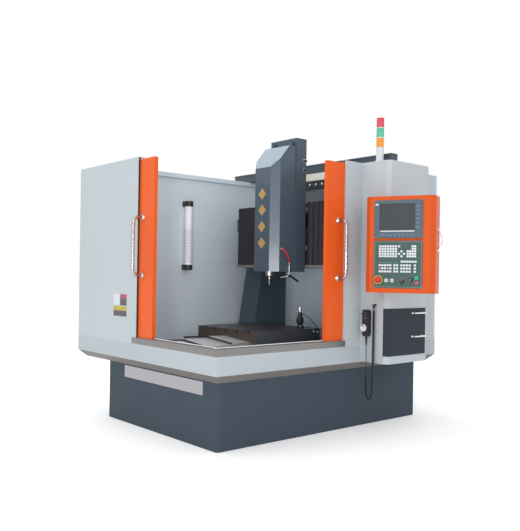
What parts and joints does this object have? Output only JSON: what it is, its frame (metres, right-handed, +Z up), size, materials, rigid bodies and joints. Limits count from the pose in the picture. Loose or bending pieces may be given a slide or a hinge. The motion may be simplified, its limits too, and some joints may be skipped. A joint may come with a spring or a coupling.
{
  "type": "cnc machining center",
  "caption": "Bridge-type CNC milling center with a corner opening between sliding doors, a moving T-slot table, a bellows-guarded head and a swivelling control box on a drawer cabinet.",
  "frame": {"origin": "middle of the plinth's underside, on the floor", "axes": "+X to the machine's right, where the control cabinet is; -Y to the front, where the left door is; +Z up"},
  "size_m": [2.3723, 2.1905, 2.1487],
  "materials": {
    "base_slate": "semi-gloss paint",
    "tub_paint": "textured powder coat",
    "stainless": "brushed",
    "panel_paint": "textured powder coat",
    "light_clamp": "matt",
    "light_tube": "ribbed, satin",
    "cast_iron": "painted casting",
    "column_slate": "painted casting",
    "screw_steel": "ground",
    "motor_black": "black anodised",
    "cover_slate": "powder coat",
    "bellows_cloth": "coated cloth",
    "head_slate": "powder coat",
    "spindle_steel": "ground",
    "hose_red": "satin",
    "brass": "worn",
    "lever_blue": "satin",
    "table_iron": "machined",
    "setter_black": "satin",
    "plunger_steel": "ground",
    "lead_black": "matt",
    "door_orange": "powder coat",
    "window_clear": "clear",
    "handle_silver": "satin",
    "box_orange": "powder coat",
    "display_teal": "satin foil",
    "screen_glass": "dark",
    "keypad_green": "satin foil",
    "estop_red": "gloss",
    "knob_black": "matt",
    "drawer_slate": "powder coat",
    "tower_white": "gloss",
    "tower_lens": "coloured, fluted",
    "pendant_black": "matt",
    "dial_silver": "satin",
    "gland_white": "satin"
  },
  "bodies": {
    "machine": {"machine_base": "base_slate", "lower_tub": "tub_paint", "rim_trim": "stainless", "left_housing": "panel_paint", "front_panel": "panel_paint", "rear_panel": "panel_paint", "right_panel": "panel_paint", "control_cabinet": "panel_paint", "work_light_housing": "light_clamp", "work_light_lens": "light_tube", "y_bed": "cast_iron", "y_motor": "motor_black", "left_column": "column_slate", "right_column": "column_slate", "crossbeam": "column_slate", "cable_tray": "cover_slate", "x_motor": "motor_black", "bellows_left": "bellows_cloth", "bellows_right": "bellows_cloth", "front_cover_fixed": "stainless", "tower_base": "tower_white", "tower_lenses": "tower_lens", "pendant_body": "pendant_black", "pendant_gland": "gland_white", "pendant_lead": "lead_black", "pendant_curl": "lead_black"},
    "carriage": {"x_carriage": "column_slate", "z_motor": "motor_black"},
    "head": {"head_slide": "cast_iron", "head_cover": "head_slate", "spindle_unit": "spindle_steel", "coolant_hose": "hose_red", "coolant_valve": "brass"},
    "spindle": {"spindle_nose": "spindle_steel", "tool_bit": "spindle_steel"},
    "lever": {"coolant_lever": "lever_blue"},
    "table": {"table": "table_iron", "tool_setter": "setter_black", "setter_lead": "lead_black", "front_cover_table": "stainless"},
    "plunger": {"setter_plunger": "plunger_steel"},
    "cover_mid": {"front_cover_mid": "stainless"},
    "left_door": {"left_door": "door_orange", "left_window": "window_clear", "left_handle": "handle_silver"},
    "right_door": {"right_door": "door_orange", "right_window": "window_clear", "right_handle": "handle_silver"},
    "control_box": {"control_box": "box_orange", "display_module": "display_teal", "screen_glass": "screen_glass", "keypad": "keypad_green"},
    "estop": {"estop_button": "estop_red"},
    "override": {"override_knob": "knob_black"},
    "upper_drawer": {"upper_drawer": "drawer_slate"},
    "lower_drawer": {"lower_drawer": "drawer_slate"},
    "dial": {"pendant_dial": "dial_silver"},
    "x_screw": {"x_ballscrew": "screw_steel"},
    "y_screw": {"y_ballscrew": "screw_steel"},
    "z_screw": {"z_ballscrew": "screw_steel"}
  },
  "joints": [
    {"name": "left_door_slide", "type": "slide", "parent": "machine", "child": "left_door", "axis": [1, 0, 0], "range_m": [0, 0.679]},
    {"name": "right_door_slide", "type": "slide", "parent": "machine", "child": "right_door", "axis": [0, -1, 0], "range_m": [0, 0.904]},
    {"name": "x_axis", "type": "slide", "parent": "machine", "child": "carriage", "axis": [1, 0, 0], "range_m": [-0.4, 0.13], "deforming": ["bellows_left", "bellows_right"]},
    {"name": "z_axis", "type": "slide", "parent": "carriage", "child": "head", "axis": [0, 0, 1], "range_m": [-0.22, 0.03]},
    {"name": "y_axis", "type": "slide", "parent": "machine", "child": "table", "axis": [0, 1, 0], "range_m": [-0.25, 0.25]},
    {"name": "cover_slide", "type": "slide", "parent": "machine", "child": "cover_mid", "axis": [0, 1, 0], "range_m": [-0.126, 0.126]},
    {"name": "spindle_spin", "type": "hinge", "parent": "head", "child": "spindle", "pos_m": [0.159, -0.1155, 1], "axis": [0, 0, 1], "continuous": true},
    {"name": "coolant_lever_turn", "type": "hinge", "parent": "head", "child": "lever", "pos_m": [0.312, -0.055, 1.044], "axis": [1, 0, 0], "range_deg": [0, 90]},
    {"name": "setter_press", "type": "slide", "parent": "table", "child": "plunger", "axis": [0, 0, -1], "range_m": [0, 0.005], "stiffness_N_per_m": 800, "springref_m": -0.002},
    {"name": "box_swivel", "type": "hinge", "parent": "machine", "child": "control_box", "pos_m": [0.803, 0.2075, 1.27], "axis": [0, 0, 1], "range_deg": [-30, 8]},
    {"name": "estop_press", "type": "slide", "parent": "control_box", "child": "estop", "axis": [-0.4131, 0.9107, 0], "range_m": [0, 0.006], "stiffness_N_per_m": 1500, "springref_m": -0.002},
    {"name": "override_turn", "type": "hinge", "parent": "control_box", "child": "override", "pos_m": [1.12516, 0.16257, 1.021], "axis": [0.4131, -0.9107, 0], "range_deg": [-135, 135]},
    {"name": "upper_drawer_slide", "type": "slide", "parent": "machine", "child": "upper_drawer", "axis": [1, 0, 0], "range_m": [0, 0.15]},
    {"name": "lower_drawer_slide", "type": "slide", "parent": "machine", "child": "lower_drawer", "axis": [1, 0, 0], "range_m": [0, 0.15]},
    {"name": "dial_turn", "type": "hinge", "parent": "machine", "child": "dial", "pos_m": [0.762, 0.2225, 0.698], "axis": [0, -1, 0], "continuous": true},
    {"name": "x_screw_turn", "type": "hinge", "parent": "machine", "child": "x_screw", "pos_m": [0, 0.19, 1.45], "axis": [1, 0, 0], "range_deg": [-14410, 4690]},
    {"name": "y_screw_turn", "type": "hinge", "parent": "machine", "child": "y_screw", "pos_m": [0, 0, 0.49], "axis": [0, 1, 0], "range_deg": [-9010, 9010]},
    {"name": "z_screw_turn", "type": "hinge", "parent": "carriage", "child": "z_screw", "pos_m": [0.159, 0.0475, 1.4], "axis": [0, 0, 1], "range_deg": [-7930, 1090]}
  ],
  "couplings": [
    {"joint": "cover_slide", "follows": "y_axis", "ratio": 0.5},
    {"joint": "x_screw_turn", "follows": "x_axis", "rad_per_m": 628.32},
    {"joint": "y_screw_turn", "follows": "y_axis", "rad_per_m": 628.32},
    {"joint": "z_screw_turn", "follows": "z_axis", "rad_per_m": 628.32}
  ]
}
